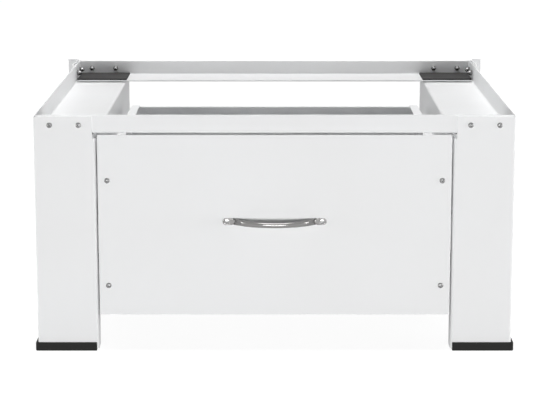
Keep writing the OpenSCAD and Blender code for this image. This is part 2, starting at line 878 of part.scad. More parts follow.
// Rear wall: set in between the side walls, with returns that are riveted to them
module drawer_rear() {
    middle = rim_half - rim_seam;
    low = box_z + box_sheet;
    color("whitesmoke") difference() {
        union() {
            along_x(-middle, 2 * middle) {
                rect([rear_y - box_sheet, low], [rear_y, rim_z - box_bend_r]);
                translate([rear_y - box_bend_r, rim_z - box_bend_r]) bend(box_bend_r, box_sheet, 1, 1);
                rect([rear_y - rim_w, rim_z - box_sheet], [rear_y - box_bend_r, rim_z]);
            }
            for (side = [LEFT, RIGHT]) on_side(side) {
                block([middle, rear_y - box_sheet, low], [floor_half, rear_y, rim_z - box_sheet]);
                block([floor_half, rear_y - box_sheet, box_z + box_bend_r],
                      [wall_x, rear_y, rim_z - box_bend_r]);
                block([wall_x - box_sheet, rear_y - box_sheet, box_z + box_bend_r],
                      [wall_x, rear_y + rear_return, rim_z - box_bend_r]);
            }
        }
        for (side = [LEFT, RIGHT]) on_side(side) rear_rivet_places() hole(rivet_d, flush_play);
    }
}

// Bottom, laid on the side walls' bottom flanges
module drawer_bottom() {
    color("whitesmoke") difference() {
        block([-floor_half, box_y + box_sheet, box_z + box_sheet],
              [floor_half, rear_y - box_sheet, box_z + 2 * box_sheet]);
        for (side = [LEFT, RIGHT]) on_side(side) floor_rivet_places() hole(rivet_d, flush_play);
    }
}

module drawer_rivets() {
    for (side = [LEFT, RIGHT]) on_side(side) {
        rear_rivet_places() rivet(2 * box_sheet);
        floor_rivet_places() rivet(2 * box_sheet);
    }
}

module front_screws() {
    drawer_screw_places(y_front) pan_screw(sheet + box_sheet + nut_h + nut_tip);
}

module front_nuts() {
    drawer_screw_places(box_y) hex_nut();
}

// ---- Handle ----

// Outline of an end plate, round at both ends
module plate_outline() {
    flat = plate_l - handle_h;
    square([flat, handle_h], center = true);
    for (s = [-1, 1]) translate([s * flat / 2, 0]) circle(d = handle_h);
}

// Section of the bow, round at its top and bottom
module bow_section() {
    flat = handle_h - bow_t;
    square([bow_t, flat], center = true);
    for (s = [-1, 1]) translate([0, s * flat / 2]) circle(d = bow_t);
}

module handle() {
    color("silver") translate([0, y_front, handle_z]) difference() {
        union() {
            for (side = [LEFT, RIGHT])
                translate([side * plate_x, 0, 0]) rotate([90, 0, 0]) linear_extrude(plate_t) plate_outline();
            intersection() {
                translate([0, bow_r - plate_t / 2 - bow_rise, 0])
                    rotate([0, 0, 270 - bow_angle])
                        rotate_extrude(angle = 2 * bow_angle) translate([bow_r, 0]) bow_section();
                block([-handle_l / 2, -handle_reach - cut, -handle_h], [handle_l / 2, 0, handle_h]);
            }
        }
        for (side = [LEFT, RIGHT])
            translate([side * handle_pitch / 2, -plate_t, 0]) head_forward() flush_hole(handle_cone);
    }
}

module handle_screws() {
    handle_screw_places(y_front - plate_t)
        flush_screw(handle_cone, plate_t + sheet + box_sheet + nut_h + nut_tip);
}

module handle_nuts() {
    handle_screw_places(box_y) hex_nut();
}

// ---- The whole object ----

leg(LEFT, FRONT);  // front_left_leg
leg(RIGHT, FRONT);  // front_right_leg
leg(LEFT, REAR);  // rear_left_leg
leg(RIGHT, REAR);  // rear_right_leg
side_rail(LEFT);  // left_side_rail
side_rail(RIGHT);  // right_side_rail
beam(FRONT);  // front_beam
beam(REAR);  // rear_beam
pad(LEFT, FRONT);  // front_left_pad
pad(RIGHT, FRONT);  // front_right_pad
pad(LEFT, REAR);  // rear_left_pad
pad(RIGHT, REAR);  // rear_right_pad
shoe(LEFT, FRONT);  // front_left_shoe
shoe(RIGHT, FRONT);  // front_right_shoe
shoe(LEFT, REAR);  // rear_left_shoe
shoe(RIGHT, REAR);  // rear_right_shoe
wall_bracket(LEFT);  // left_wall_bracket
wall_bracket(RIGHT);  // right_wall_bracket
slide_carrier(LEFT);  // left_slide_carrier
slide_carrier(RIGHT);  // right_slide_carrier
carrier_rivets();
leg_front_screws(FRONT);  // front_leg_screws
leg_front_screws(REAR);  // rear_leg_screws
leg_side_screws(LEFT);  // left_side_screws
leg_side_screws(RIGHT);  // right_side_screws
leg_front_nuts(FRONT);  // front_cap_nuts
leg_front_nuts(REAR);  // rear_cap_nuts
leg_side_nuts(LEFT);  // left_cap_nuts
leg_side_nuts(RIGHT);  // right_cap_nuts
slide_outer(LEFT);  // left_slide_outer
slide_outer(RIGHT);  // right_slide_outer
slide_screws(LEFT);  // left_slide_screws
slide_screws(RIGHT);  // right_slide_screws
slide_middle(LEFT);  // left_slide_middle
slide_middle(RIGHT);  // right_slide_middle
outer_cage(LEFT);  // left_outer_cage
outer_cage(RIGHT);  // right_outer_cage
balls(LEFT, big_u, big_v, big_r);  // left_outer_balls
balls(RIGHT, big_u, big_v, big_r);  // right_outer_balls
inner_cage(LEFT);  // left_inner_cage
inner_cage(RIGHT);  // right_inner_cage
balls(LEFT, small_u, small_v, small_r);  // left_inner_balls
balls(RIGHT, small_u, small_v, small_r);  // right_inner_balls
slide_inner(LEFT);  // left_slide_inner
slide_inner(RIGHT);  // right_slide_inner
runner_screws(LEFT);  // left_runner_screws
runner_screws(RIGHT);  // right_runner_screws
drawer_front();
drawer_inner_front();
drawer_side(LEFT);  // drawer_left_side
drawer_side(RIGHT);  // drawer_right_side
drawer_rear();
drawer_bottom();
drawer_rivets();
front_screws();
front_nuts();
handle();
handle_screws();
handle_nuts();
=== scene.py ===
# Looks of the washer pedestal with its pull-out drawer. All sizes are in metres. -Y is the front.
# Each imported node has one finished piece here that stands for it. Sheet metal, slide members and shoes are
# merged copies, cut through the middle of their holes and rounded along their edges. Fasteners, balls, pads
# and the handle are surfaces worked out with numpy.

import json
import math

import bmesh
import bpy
import numpy as np
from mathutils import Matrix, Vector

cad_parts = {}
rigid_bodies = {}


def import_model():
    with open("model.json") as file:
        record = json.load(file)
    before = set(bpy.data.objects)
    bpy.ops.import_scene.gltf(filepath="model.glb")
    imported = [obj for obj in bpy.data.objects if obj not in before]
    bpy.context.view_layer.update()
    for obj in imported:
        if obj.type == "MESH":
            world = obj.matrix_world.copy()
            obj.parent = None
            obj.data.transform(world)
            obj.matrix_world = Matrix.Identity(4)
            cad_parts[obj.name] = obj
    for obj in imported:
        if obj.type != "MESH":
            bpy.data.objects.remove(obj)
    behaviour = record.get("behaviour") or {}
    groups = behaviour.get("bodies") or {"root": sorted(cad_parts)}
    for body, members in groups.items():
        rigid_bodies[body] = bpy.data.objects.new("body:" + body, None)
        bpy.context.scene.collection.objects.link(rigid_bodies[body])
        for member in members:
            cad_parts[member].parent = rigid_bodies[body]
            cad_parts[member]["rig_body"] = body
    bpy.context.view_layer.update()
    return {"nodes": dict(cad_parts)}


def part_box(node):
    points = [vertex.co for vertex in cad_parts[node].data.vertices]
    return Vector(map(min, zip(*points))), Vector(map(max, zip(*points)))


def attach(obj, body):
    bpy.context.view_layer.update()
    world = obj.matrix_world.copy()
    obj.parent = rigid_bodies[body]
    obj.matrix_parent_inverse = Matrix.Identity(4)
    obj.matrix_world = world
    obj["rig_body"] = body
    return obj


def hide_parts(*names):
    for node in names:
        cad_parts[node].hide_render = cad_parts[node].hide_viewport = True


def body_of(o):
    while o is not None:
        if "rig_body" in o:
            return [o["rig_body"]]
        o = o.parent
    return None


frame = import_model()

MM = 0.001
X, Y, Z = 0, 1, 2
AWAY, TOWARDS = 1, -1  # a head that looks away from the object's middle, or towards it
SIDES = ("left", "right")
CORNERS = ("front_left", "front_right", "rear_left", "rear_right")

# Camera, fitted to the photograph's frame of 550 by 412 pixels
CAMERA_PLACE = (0.0, -2.4614, 0.6610)
CAMERA_PITCH = math.radians(10.673)
CAMERA_LENS = 116.73
CAMERA_SENSOR = 36.0
CAMERA_SHIFT_X = 0.0007
CAMERA_SHIFT_Y = -0.08
CAMERA_REACH = 100.0

# Stage
FLOOR_HALF = 30.0
FLOOR_ALBEDO = 0.35
FLOOR_SEEN_ALBEDO = 0.25
FLOOR_GLOW_NEAR = 0.91
FLOOR_GLOW_FAR = 1.0
FLOOR_GLOW_RANGE = (0.5, 1.5)
DOME_LIGHT = 0.03

# Lamps: name, place, point that it looks at, width, height and power in watts
LAMP_TARGET = (0.0, 0.0, 0.2)
LAMPS = (
    ("front_light", (0.0, -3.2, 0.25), LAMP_TARGET, 2.6, 0.35, 64.0),
    ("top_light", (0.0, 0.1, 2.4), (0.0, 0.1, 0.0), 1.2, 1.2, 44.0),
    ("right_light", (3.0, -0.2, 0.27), LAMP_TARGET, 2.4, 0.46, 62.0),
    ("left_light", (-3.0, -0.2, 0.27), LAMP_TARGET, 2.4, 0.46, 42.0),
    ("rear_right_light", (2.4, 2.2, 0.35), LAMP_TARGET, 1.6, 0.5, 16.0),
    ("rear_left_light", (-2.4, 2.2, 0.35), LAMP_TARGET, 1.6, 0.5, 16.0),
)

# Rounding of the edges of each kind of part
FRAME_EDGE = 0.35 * MM
BOX_EDGE = 0.2 * MM
SLIDE_EDGE = 0.15 * MM
CAGE_EDGE = 0.05 * MM
SHOE_EDGE = 0.7 * MM
CAGE_EDGE_STEPS = 1
EDGE_STEPS = 2
SHOE_EDGE_STEPS = 3

# What counts as one in a mesh
SHARP = math.radians(38)  # an edge that turns by more is rounded or creased
FLAT = math.radians(0.6)  # faces that turn by less are one flat face
WELD = 2e-6  # corners that are closer are one corner
HOLE_SNAP = 0.08 * MM  # a corner that is closer to a cut lies on it
HOLE_REACH = 3.4 * MM  # a hole's rim is closer to the fastener's axis
LEAST_R = 1e-9  # a radius that divides is at least this
ON_RIM = 1e-7  # a point that is this little outside the handle's plate still lies on it
AREA_WEIGHT = 100  # how far the larger faces decide a weighted normal

# Corners round a screw, a nut, and a rivet or ball
SCREW_COLUMNS = 64
NUT_COLUMNS = 48
SMALL_COLUMNS = 32

# Rows of corners along each stretch of a fastener's profile
CROSS_ROWS = 18
HEAD_ROWS = 5
HEAD_BEND_ROWS = 4
SLOT_ROWS = 16
FLUSH_RING_ROWS = 4
DOME_ROWS = 13
RIVET_ROWS = 9
BALL_ROWS = 17

# Shanks and threads
SHANK_R = 2.0 * MM
SHANK_TIP = 0.4 * MM
SHANK_GAP = 0.05 * MM
THREAD_PITCH = 0.7 * MM
THREAD_DEPTH = 0.22 * MM
THREAD_STEPS = 5
THREAD_START = 0.3 * MM

# Pan head screws
HEAD_R = 3.5 * MM
HEAD_H = 2.2 * MM
HEAD_DOME_R = 5.2 * MM
HEAD_ROUND = 0.35 * MM
HEAD_FOOT = 0.15 * MM
CROSS_HALF = 1.8 * MM
CROSS_HALF_W = 0.42 * MM
CROSS_DEPTH = 1.1 * MM
CROSS_WALL = 0.3 * MM
CROSS_MARGIN = 0.2 * MM
SCREW_SEED = 5
SCREW_TURN = 0.5

# Nuts
NUT_HALF = 3.5 * MM
NUT_CORNER_R = NUT_HALF / math.cos(math.pi / 6)
NUT_H = 3.2 * MM
NUT_CHAMFER = 0.35 * MM
NUT_FACE_INSET = 0.1 * MM
NUT_BORE_R = 2.05 * MM
NUT_BORE_CHAMFER = 0.2 * MM
NUT_SIDE_TURN = math.pi / 6
DOME_R = 3.2 * MM
DOME_NECK = 1.0 * MM
DOME_BORE = 5.7 * MM

# Countersunk screws
FLUSH_HEAD_R = 3.2 * MM
FLUSH_CROWN = 0.25 * MM
FLUSH_RIM = 0.15 * MM
FLUSH_RIM_H = 0.12 * MM
FLUSH_RING_R = 1.75 * MM
FLUSH_SLOT_HALF = 1.4 * MM
FLUSH_SLOT_HALF_W = 0.3 * MM
FLUSH_SLOT_DEPTH = 0.6 * MM
FLUSH_SLOT_WALL = 0.12 * MM
FLUSH_SLOT_MARGIN = 0.15 * MM
HANDLE_CONE = 1.6 * MM
SLIDE_CONE = 1.2 * MM
RUNNER_CONE = 1.0 * MM

# Rivets
RIVET_R = 2.0 * MM
RIVET_HEAD_R = 3.5 * MM
RIVET_HEAD_H = 0.8 * MM
RIVET_FULLNESS = 0.8
DIMPLE_R = 1.1 * MM
DIMPLE_WALL_R = 0.9 * MM
DIMPLE_FLOOR_R = 0.75 * MM
DIMPLE_FLOOR_H = 0.35 * MM
DIMPLE_LIP = 0.05 * MM

# Pads
PAD_CORNER_R = 2.0 * MM
PAD_ROUND = 0.8 * MM
PAD_FOOT_ROUND = 0.3 * MM
PAD_CROWN = 0.25 * MM
PAD_ARC_STEPS = 7
PAD_SIDE_STEPS = 14
PAD_BEND_ROWS = 6
PAD_TOP_ROWS = 15

# Handle
HANDLE_PLATE_L = 15.0 * MM
HANDLE_PLATE_T = 3.0 * MM
HANDLE_EDGE = 0.5 * MM
HANDLE_BOW_T = 6.0 * MM
HANDLE_BOW_INSET = 0.5 * MM
HANDLE_WAIST = 1.0 * MM
HANDLE_FACET_BASE = 3.2 * MM
HANDLE_FACET_L = 8.6 * MM
HANDLE_SINK_R = 3.3 * MM
HANDLE_SINK_DEPTH = 1.6 * MM
HANDLE_FINE_BEFORE = 10 * MM  # the mesh is fine from this far before the plate's inner end
HANDLE_FINE_PAST = 5 * MM  # and to this far past it
HANDLE_BOW_COLUMNS = 50
HANDLE_FINE_COLUMNS = 70
HANDLE_PLATE_COLUMNS = 24
HANDLE_END_COLUMNS = 18
HANDLE_ROWS = 41

# Height that divides the fasteners that look up from those that look down
MIDDLE_HEIGHT = 0.15


# ---- Reading the frame ----

def box_of(node):
    """Lowest and highest corner of a node, as arrays."""
    low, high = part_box(node)
    return np.array(low), np.array(high)


def triangles_of(node):
    """Corners of a node's mesh, with those at one place joined, and its triangles."""
    mesh = frame["nodes"][node].data
    corners = np.empty(3 * len(mesh.vertices), np.float32)
    faces = np.empty(len(mesh.loops), np.int32)
    mesh.vertices.foreach_get("co", corners)
    mesh.loops.foreach_get("vertex_index", faces)
    cells = np.round(corners.reshape(-1, 3) / WELD).astype(np.int64)
    _, first, joined = np.unique(cells, axis=0, return_index=True, return_inverse=True)
    faces = joined.ravel()[faces].reshape(-1, 3)
    whole = (faces != np.roll(faces, -1, axis=1)).all(axis=1)
    return corners.reshape(-1, 3)[first].astype(float), faces[whole]


def solids_of(node):
    """Box of each separate solid of a node. Every triangle hands its lowest label to its corners until
    no label changes, so the corners of one solid end with one label."""
    corners, faces = triangles_of(node)
    label = np.arange(len(corners))
    changed = True
    while changed:
        lowest = label.copy()
        np.minimum.at(lowest, faces.ravel(), np.repeat(label[faces].min(axis=1), 3))
        lowest = lowest[lowest]
        changed = not np.array_equal(lowest, label)
        label = lowest
    return [(corners[label == k].min(axis=0), corners[label == k].max(axis=0)) for k in np.unique(label)]


def fasteners():
    """Box and axis of every screw and rivet. Its head is round, so the axis is along the side of its box
    that differs most from the middle one of the three."""
    found = []
    for node in frame["nodes"]:
        if node.endswith("screws") or node.endswith("rivets"):
            for low, high in solids_of(node):
                sides = high - low
                found.append((low, high, int(np.argmax(np.abs(sides - np.median(sides))))))
    return found


def middle_of_frame():
    """Point halfway between the front and the rear legs, at the height that divides the fasteners."""
    front = box_of("front_left_leg")[0][Y]
    rear = box_of("rear_left_leg")[1][Y]
    return np.array([0.0, (front + rear) / 2, MIDDLE_HEIGHT])


def handle_screw_place():
    """Distance of the handle's screws from its middle, along X."""
    low, high = solids_of("handle_screws")[0]
    return abs(low[X] + high[X]) / 2


DRAWER_FACE = box_of("drawer_front")[0][Y]
MIDDLE = middle_of_frame()
FASTENERS = fasteners()
HANDLE_SCREW_X = handle_screw_place()


def seats(node, axis, side, head_h=0.0):
    """Where each fastener of a node sits: a point on its own axis and the direction that its head looks in.
    The direction is along the axis that is named, or along its shortest side where none is, and points away
    from the object's middle or towards it. The point lies the head's height in from the fastener's end."""
    found = []
    for low, high in solids_of(node):
        k = int(np.argmin(high - low)) if axis is None else axis
        centre = (low + high) / 2
        look = np.zeros(3)
        look[k] = side * (1 if centre[k] > MIDDLE[k] else -1)
        found.append((centre + look * ((high - low)[k] / 2 - head_h), look))
    return found


def length_of(node, axis):
    """Length of a node's fasteners along an axis: the least, where they differ."""
    return min((high - low)[axis] for low, high in solids_of(node))


# ---- Making meshes ----

def rounded(piece):
    """Smooth shading, with a crease wherever two faces meet at more than the sharp angle."""
    piece.data.shade_smooth()
    piece.data.set_sharp_from_angle(angle=SHARP)
    return piece


def linked(name, mesh):
    """A new object with that mesh, at the origin."""
    piece = bpy.data.objects.new(name, mesh)
    bpy.context.scene.collection.objects.link(piece)
    return piece


def shells(name, grids, ring=False):
    """One piece made of closed grids of one size, given as (copies, rows, columns, 3). A row is a closed ring
    of corners. The first and the last row shrink to a point or a line, or meet where ring is set."""
    copies, rows, columns, _ = grids.shape
    i, j = np.meshgrid(np.arange(rows if ring else rows - 1), np.arange(columns), indexing="ij")
    here = i * columns
    below = ((i + 1) % rows) * columns
    beside = (j + 1) % columns
    quads = np.stack([here + j, here + beside, below + beside, below + j], -1)
    starts = np.arange(copies)[:, None, None] * rows * columns
    quads = (quads.reshape(1, -1, 4) + starts).reshape(-1, 4)
    mesh = bpy.data.meshes.new(name)
    mesh.from_pydata(grids.reshape(-1, 3), [], quads)
    work = bmesh.new()
    work.from_mesh(mesh)
    bmesh.ops.remove_doubles(work, verts=work.verts, dist=WELD / 4)
    bmesh.ops.recalc_face_normals(work, faces=work.faces)
    work.to_mesh(mesh)
    work.free()
    return rounded(linked(name, mesh))


def turned(profile, columns):
    """A profile of (radius, height) rows turned about Z, as a grid of (rows, columns, 3)."""
    angle = np.arange(columns) * 2 * np.pi / columns
    radius = profile[:, 0][:, None]
    height = profile[:, 1][:, None]
    return np.stack([radius * np.cos(angle), radius * np.sin(angle), height + 0 * angle], -1)


def set_in(grid, places, turns=None):
    """Copies of a grid that is drawn with its head above Z = 0, one at each seat: the grid's Z axis becomes
    the direction that the head looks in, and each copy is first turned about it by its own angle."""
    copies = []
    for k, (point, look) in enumerate(places):
        turn = 0.0 if turns is None else turns[k]
        up = np.array([0.0, 0.0, 1.0]) if abs(look[Z]) < 0.5 else np.array([0.0, 1.0, 0.0])
        side = np.cross(up, look)
        first = math.cos(turn) * side + math.sin(turn) * up
        second = math.cos(turn) * up - math.sin(turn) * side
        copies.append(point + grid[..., :1] * first + grid[..., 1:2] * second + grid[..., 2:] * look)
    return np.array(copies)


def hole_middles(corners):
    """Middle of each screw or rivet that passes through a piece, with its axis: the piece has corners close
    to the fastener's axis and between its ends."""
    found = []
    for start, end, axis in FASTENERS:
        away = corners - (start + end) / 2
        away[:, axis] = 0
        beside = (corners[:, axis] > start[axis]) & (corners[:, axis] < end[axis])
        if (beside & (np.linalg.norm(away, axis=1) < HOLE_REACH)).any():
            found.append(((start + end) / 2, axis))
    return found


def cut_through(work, places):
    """Cuts a piece along an upright plane through each place and axis, so that no flat face has a hole in it,
    and marks the cuts, so that they stay when the flat faces are made whole."""
    for point, axis in places:
        across = np.zeros(3)
        across[Y if axis == X else X] = 1.0
        everything = work.verts[:] + work.edges[:] + work.faces[:]
        made = bmesh.ops.bisect_plane(work, geom=everything, dist=HOLE_SNAP, plane_co=point, plane_no=across)
        for piece in made["geom_cut"]:
            if isinstance(piece, bmesh.types.BMEdge):
                piece.seam = True


def dressed(node, edge, steps=EDGE_STEPS, middle_cut=False, clamp=False):
    """Copy of a node's mesh with its corners merged and its flat faces made whole, so that a live bevel can
    round every sharp edge. Normals are weighted by area, which keeps the flat faces flat. Where a bend ends
    against a wall, the rounding is clamped to the narrowest strip of the bend."""
    corners, faces = triangles_of(node)
    mesh = bpy.data.meshes.new(node + "_finished")
    mesh.from_pydata(corners, [], faces)
    work = bmesh.new()
    work.from_mesh(mesh)
    bmesh.ops.remove_doubles(work, verts=work.verts, dist=WELD)
    places = hole_middles(corners)
    if middle_cut:
        places.append(((corners.min(axis=0) + corners.max(axis=0)) / 2, Y))
    cut_through(work, places)
    bmesh.ops.dissolve_limit(work, angle_limit=FLAT, verts=work.verts, edges=work.edges, delimit={"SEAM"})
    work.to_mesh(mesh)
    work.free()
    piece = linked(node + "_finished", mesh)
    piece.data.shade_smooth()
    bevel = piece.modifiers.new("edge", "BEVEL")
    bevel.limit_method = "ANGLE"
    bevel.angle_limit = SHARP
    bevel.width = edge
    bevel.segments = steps
    bevel.use_clamp_overlap = clamp
    even = piece.modifiers.new("even", "WEIGHTED_NORMAL")
    even.weight = AREA_WEIGHT
    return piece


def stands_for(piece, node, finish):
    """Puts a finished piece in its node's place, on the same body and its material."""
    piece.data.materials.append(finish)
    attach(piece, body_of(frame["nodes"][node])[0])
    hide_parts(node)
    return piece


def fitted(node, grids, finish, ring=False):
    """Puts a piece made of closed grids in its node's place."""
    return stands_for(shells(node + "_finished", grids, ring), node, finish)


# ---- Surfaces of the fasteners ----

def into_bar(x, y, half_l, half_w):
    """Distance to the edge of a bar along X with the given half length and half width, below 0 inside it."""
    return np.maximum(np.abs(x) - half_l, np.abs(y) - half_w)


def sunk(distance, depth, wall):
    """Depth of a recess whose sloping wall lies inside its edge: 0 outside, and full past the wall. Between
    them it eases in and out, as three squares less two cubes of the way."""
    share = np.clip(-distance / wall, 0, 1)
    return depth * share * share * (3 - 2 * share)


def threaded(grid, low, high):
    """Draws a shank in and out along a helix: between the two heights, each corner's radius loses the
    thread's depth times half of one minus the cosine of its height in pitches less its angle in turns."""
    x, y, z = grid[..., X], grid[..., Y], grid[..., Z]
    turns = z / THREAD_PITCH - np.arctan2(y, x) / (2 * np.pi)
    cut = THREAD_DEPTH * (1 - np.cos(2 * np.pi * turns)) / 2 * ((z > low) & (z < high))
    radius = np.maximum(np.hypot(x, y), LEAST_R)
    share = np.where(radius > SHANK_R / 2, 1 - cut / radius, 1)
    return np.stack([x * share, y * share, z], -1)


def shank_rows(length, start):
    """Profile rows of a threaded shank from a height down to a chamfered end."""
    steps = int(round((length + start) / (THREAD_PITCH / THREAD_STEPS)))
    down = np.linspace(start, -length + SHANK_TIP, steps)
    shank = np.stack([np.full(steps, SHANK_R), down], -1)
    return np.vstack([shank, [[SHANK_R - SHANK_TIP, -length], [0, -length]]])


def pan_screw_grid(length):
    """Pan head screw: a shallow sphere turned about Z, with a cross sunk into it. The height of the head at a
    radius is that of the sphere, less the depth of the cross, which is the lesser distance of two bars."""
    face = HEAD_R - HEAD_ROUND
    radius = np.concatenate([
        np.linspace(0, CROSS_HALF + CROSS_MARGIN, CROSS_ROWS),
        np.linspace(CROSS_HALF + 2 * CROSS_MARGIN, face, HEAD_ROWS),
    ])
    dome = HEAD_H - HEAD_DOME_R + np.sqrt(HEAD_DOME_R ** 2 - radius ** 2)
    bow = np.linspace(0, np.pi / 2, HEAD_BEND_ROWS)[1:]
    rim = np.stack([face + HEAD_ROUND * np.sin(bow), dome[-1] - HEAD_ROUND * (1 - np.cos(bow))], -1)
    foot = np.array([[HEAD_R, HEAD_FOOT], [HEAD_R - HEAD_FOOT, 0], [SHANK_R, 0]])
    profile = np.vstack([np.stack([radius, dome], -1), rim, foot, shank_rows(length, -SHANK_GAP)])
    grid = turned(profile, SCREW_COLUMNS)
    x, y = grid[..., X], grid[..., Y]
    cross = np.minimum(into_bar(x, y, CROSS_HALF, CROSS_HALF_W), into_bar(y, x, CROSS_HALF, CROSS_HALF_W))
    top = np.arange(len(profile))[:, None] < len(radius)
    grid[..., Z] -= np.where(top, sunk(cross, CROSS_DEPTH, CROSS_WALL), 0)
    return threaded(grid, -length, -THREAD_START)


def hexagon(angle):
    """Radius of a hexagon at an angle: half its width over the cosine of the angle from the nearest flat."""
    step = np.pi / 3
    return NUT_HALF / np.cos(np.mod(angle, step) - step / 2)


def hexed(rows):
    """Rows of (round radius, height) cut to a hexagon: a corner lies at the lesser of the two radii."""
    angle = np.arange(NUT_COLUMNS) * 2 * np.pi / NUT_COLUMNS
    radius = np.minimum(rows[:, 0][:, None], hexagon(angle))
    height = rows[:, 1][:, None]
    return np.stack([radius * np.cos(angle), radius * np.sin(angle), height + 0 * angle], -1)


def hexagon_rows():
    """Outside of a hexagon from its bearing face at Z = 0 down to its lower face, both chamfered."""
    face = NUT_HALF - NUT_FACE_INSET
    return np.array([
        [face, 0],
        [NUT_CORNER_R, -NUT_CHAMFER],
        [NUT_CORNER_R, -NUT_H + NUT_CHAMFER],
        [face, -NUT_H],
    ])


def cap_nut_grid():
    """Cap nut: blind bore, hexagon, short neck and a half sphere, as one profile cut to the hexagon."""
    bore = np.array([
        [0, -DOME_BORE],
        [NUT_BORE_R, -DOME_BORE],
        [NUT_BORE_R, -NUT_BORE_CHAMFER],
        [NUT_BORE_R + NUT_BORE_CHAMFER, 0],
    ])
    neck = np.array([[DOME_R, -NUT_H], [DOME_R, -NUT_H - DOME_NECK]])
    bow = np.linspace(0, np.pi / 2, DOME_ROWS)[1:]
    dome = np.stack([DOME_R * np.cos(bow), -NUT_H - DOME_NECK - DOME_R * np.sin(bow)], -1)
    return hexed(np.vstack([bore, hexagon_rows(), neck, dome]))


def hex_nut_grid():
    """Plain hexagon nut: the outside of the hexagon and the bore as one closed ring of rows."""
    bore = np.array([
        [NUT_BORE_R + NUT_BORE_CHAMFER, -NUT_H],
        [NUT_BORE_R, -NUT_H + NUT_BORE_CHAMFER],
        [NUT_BORE_R, -NUT_BORE_CHAMFER],
        [NUT_BORE_R + NUT_BORE_CHAMFER, 0],
    ])
    return hexed(np.vstack([hexagon_rows(), bore]))


def flush_screw_grid(cone, length):
    """Countersunk screw whose head ends at Z = 0: a shallow crown with a slot sunk into it, a cone and a
    shank. The crown falls off with the square of the distance from the middle."""
    face = FLUSH_HEAD_R - FLUSH_RIM
    radius = np.concatenate([
        np.linspace(0, FLUSH_SLOT_HALF + FLUSH_SLOT_MARGIN, SLOT_ROWS),
        np.linspace(FLUSH_RING_R, face, FLUSH_RING_ROWS),
    ])
    disc = np.stack([radius, -FLUSH_CROWN * (radius / face) ** 2], -1)
    head = np.array([[FLUSH_HEAD_R, -FLUSH_CROWN - FLUSH_RIM_H], [SHANK_R, -cone]])
    profile = np.vstack([disc, head, shank_rows(length, -cone - SHANK_GAP)])
    grid = turned(profile, SCREW_COLUMNS)
    slot = into_bar(grid[..., X], grid[..., Y], FLUSH_SLOT_HALF, FLUSH_SLOT_HALF_W)
    top = np.arange(len(profile))[:, None] < len(radius)
    grid[..., Z] -= np.where(top, sunk(slot, FLUSH_SLOT_DEPTH, FLUSH_SLOT_WALL), 0)
    return threaded(grid, -length, -cone)


def rivet_grid(grip):
    """Rivet through a stack of sheets below Z = 0: a domed head with the dimple that the broken pin leaves,
    a shank and an upset end, as one turned profile. A dome's height goes with a power of the cosine."""
    bow = np.linspace(0, np.pi / 2, RIVET_ROWS)
    dimple = np.array([
        [0, DIMPLE_FLOOR_H],
        [DIMPLE_FLOOR_R, DIMPLE_FLOOR_H],
        [DIMPLE_WALL_R, RIVET_HEAD_H - DIMPLE_LIP],
    ])
    dome_r = DIMPLE_R + (RIVET_HEAD_R - DIMPLE_R) * np.sin(bow)
    head = np.stack([dome_r, RIVET_HEAD_H * np.cos(bow) ** RIVET_FULLNESS], -1)
    shank = np.array([[RIVET_R, 0], [RIVET_R, -grip]])
    upset_h = -grip - RIVET_HEAD_H * np.sin(bow) ** RIVET_FULLNESS
    upset = np.stack([RIVET_HEAD_R * np.cos(bow), upset_h], -1)
    return turned(np.vstack([dimple, head, shank, upset]), SMALL_COLUMNS)


def ball_grid(radius):
    """Sphere as a half circle turned about Z."""
    bow = np.linspace(0, np.pi, BALL_ROWS)
    return turned(np.stack([radius * np.sin(bow), radius * np.cos(bow)], -1), SMALL_COLUMNS)


# ---- Pads ----

def rounded_rectangle(half_x, half_y, radius, arc_steps, side_steps):
    """Outline of a rectangle with round corners, counterclockwise: four arcs, with straight steps between."""
    arcs = []
    for k, (sx, sy) in enumerate([(1, 1), (-1, 1), (-1, -1), (1, -1)]):
        angle = k * np.pi / 2 + np.linspace(0, np.pi / 2, arc_steps)
        centre = np.array([sx * (half_x - radius), sy * (half_y - radius)])
        arcs.append(centre + radius * np.stack([np.cos(angle), np.sin(angle)], -1))
    outline = []
    share = np.linspace(0, 1, side_steps + 2)[1:-1, None]
    for arc, following in zip(arcs, arcs[1:] + arcs[:1]):
        outline += [arc, arc[-1] + (following[0] - arc[-1]) * share]
    return np.concatenate(outline)


def pad_grid(node):
    """Moulded pad: a rounded rectangle carried up a profile of (share of the outline's size, height), with
    round lower and upper edges. Its top rises from the edge towards the middle as one minus the square of
    the distance from it."""
    low, high = box_of(node)
    half = (high - low) / 2
    centre = (low + high) / 2
    outline = rounded_rectangle(half[X], half[Y], PAD_CORNER_R, PAD_ARC_STEPS, PAD_SIDE_STEPS)
    bow = np.linspace(0, np.pi / 2, PAD_BEND_ROWS)
    top = high[Z] - PAD_CROWN
    foot = np.stack([PAD_FOOT_ROUND * (1 - np.sin(bow)), low[Z] + PAD_FOOT_ROUND * (1 - np.cos(bow))], -1)
    lip = np.stack([PAD_ROUND * (1 - np.cos(bow)), top - PAD_ROUND * (1 - np.sin(bow))], -1)
    rows = [np.column_stack([np.zeros_like(outline), np.full(len(outline), low[Z])])]
    for inset, z in np.vstack([foot, lip]):
        rows.append(np.column_stack([outline * (1 - inset / half[:2]), np.full(len(outline), z)]))
    rim = rows[-1][:, :2]
    for share in np.linspace(1, 0, PAD_TOP_ROWS)[1:]:
        rows.append(np.column_stack([rim * share, np.full(len(rim), top + PAD_CROWN * (1 - share ** 2))]))
    grid = np.array(rows)
    grid[..., :2] += centre[:2]
    return grid[None]


# ---- Handle ----

